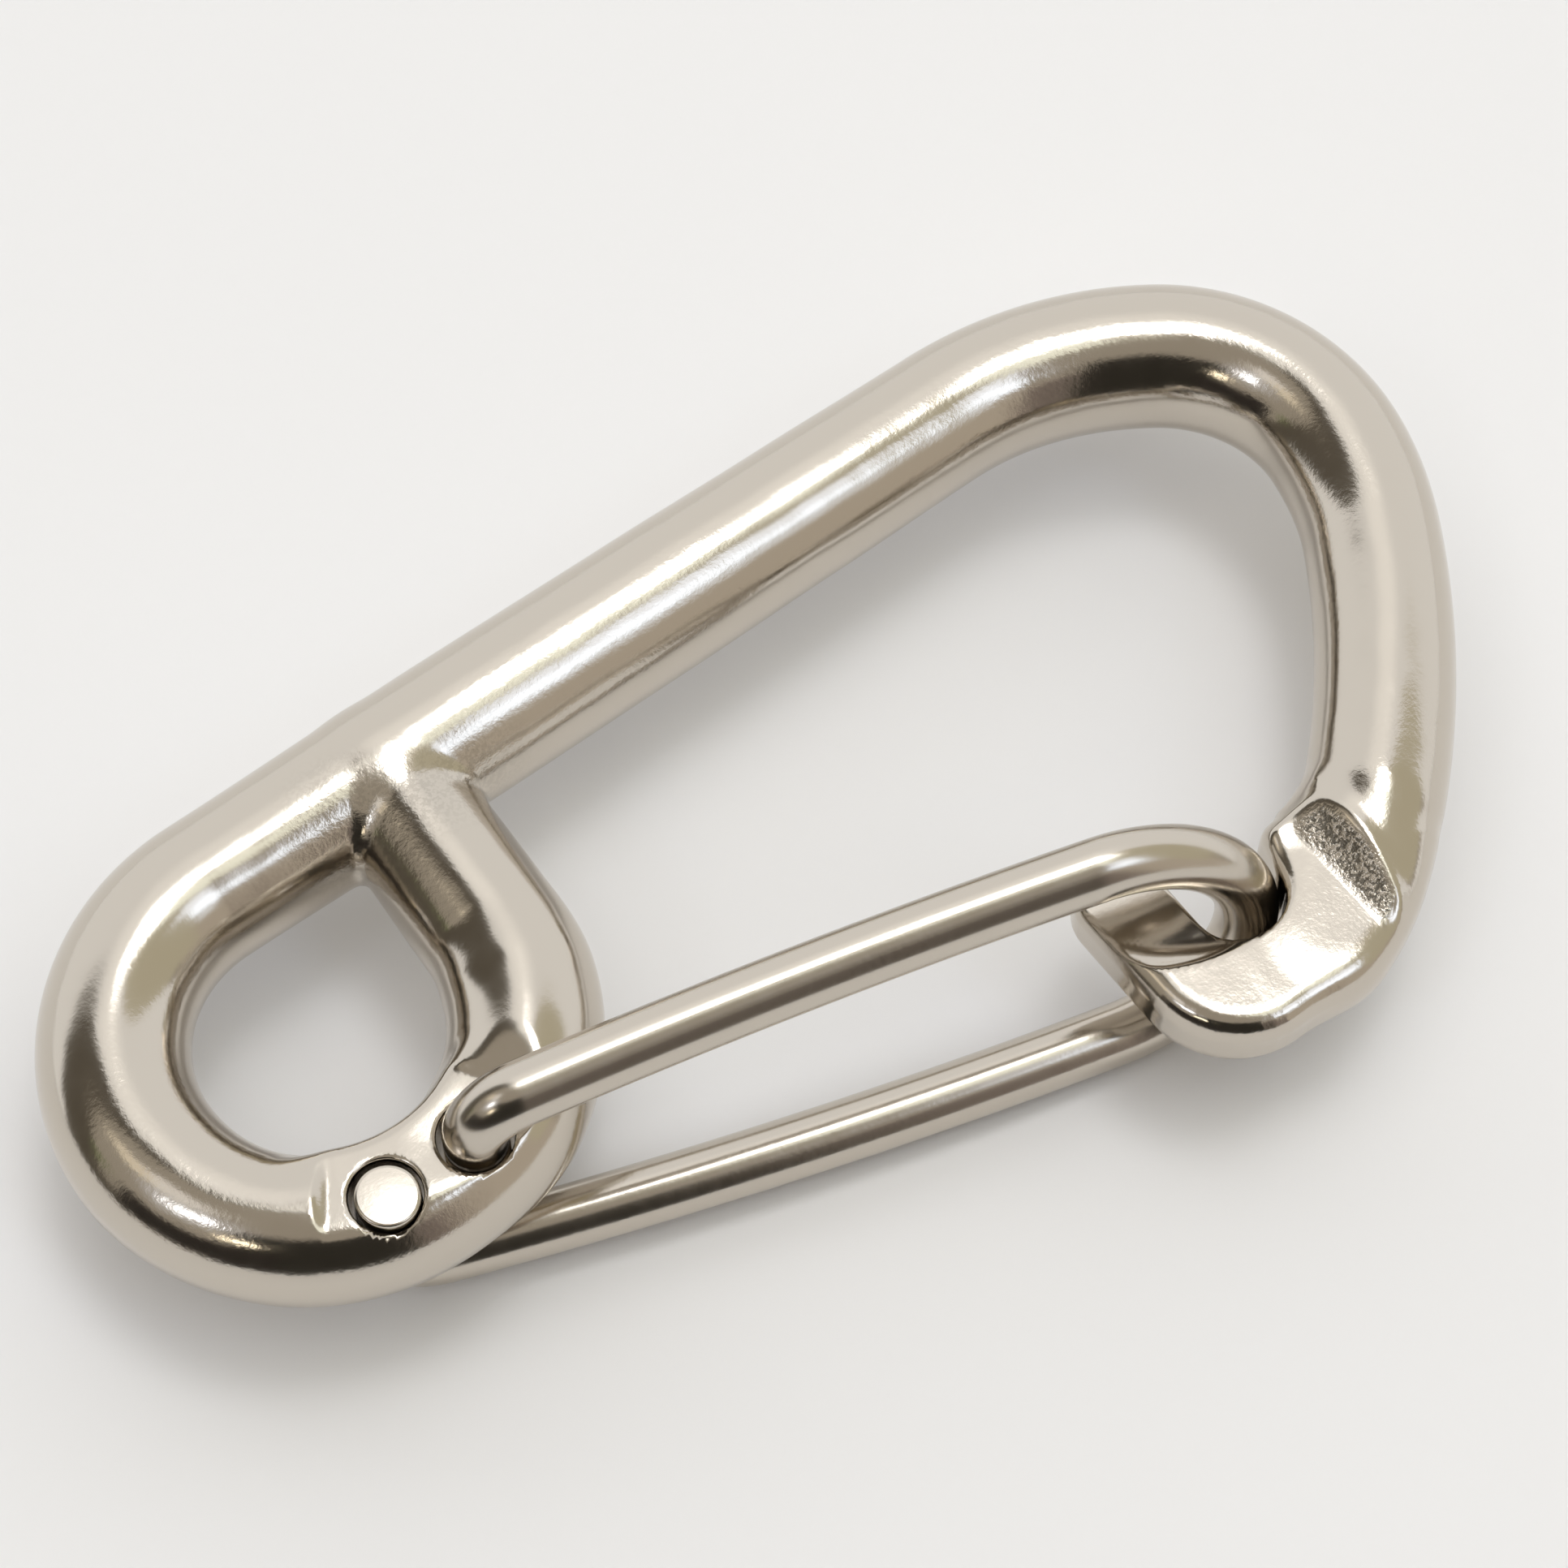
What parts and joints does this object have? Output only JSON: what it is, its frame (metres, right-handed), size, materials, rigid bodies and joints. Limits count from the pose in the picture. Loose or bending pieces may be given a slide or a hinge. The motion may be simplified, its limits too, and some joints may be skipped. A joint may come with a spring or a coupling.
{
  "type": "carbine hook with eye and wire gate",
  "caption": "Stainless carbine hook: round rod bent from a closed eye to a big hook, closed by a sprung wire gate.",
  "frame": {"origin": "middle of the round eye, on the casting's middle plane", "axes": "+X along the straight spine from the eye to the hook, +Y from the gate to the spine, +Z out of the front face"},
  "size_m": [0.0996, 0.053, 0.0194],
  "materials": {
    "cast_steel": "polished cast stainless steel, rougher in the hollows",
    "wire_steel": "polished drawn stainless steel wire"
  },
  "bodies": {
    "hook": {"hook_body": "cast_steel"},
    "gate_front": {"gate_wire_front": "wire_steel"},
    "gate_rear": {"gate_wire_rear": "wire_steel"}
  },
  "joints": [
    {"name": "gate_open", "type": "hinge", "parent": "hook", "child": "gate_front", "pos_m": [0.0032, -0.0124, 0], "axis": [0, 0, 1], "range_deg": [0, 36], "stiffness_Nm_per_rad": 0.6, "springref_deg": -14.32},
    {"name": "gate_flex", "type": "hinge", "parent": "gate_front", "child": "gate_rear", "pos_m": [0.0511, -0.02705, 0], "axis": [0, 0, 1], "range_deg": [-4.3, 0.3]}
  ],
  "couplings": [
    {"joint": "gate_flex", "follows": "gate_open", "ratio": -0.112}
  ]
}
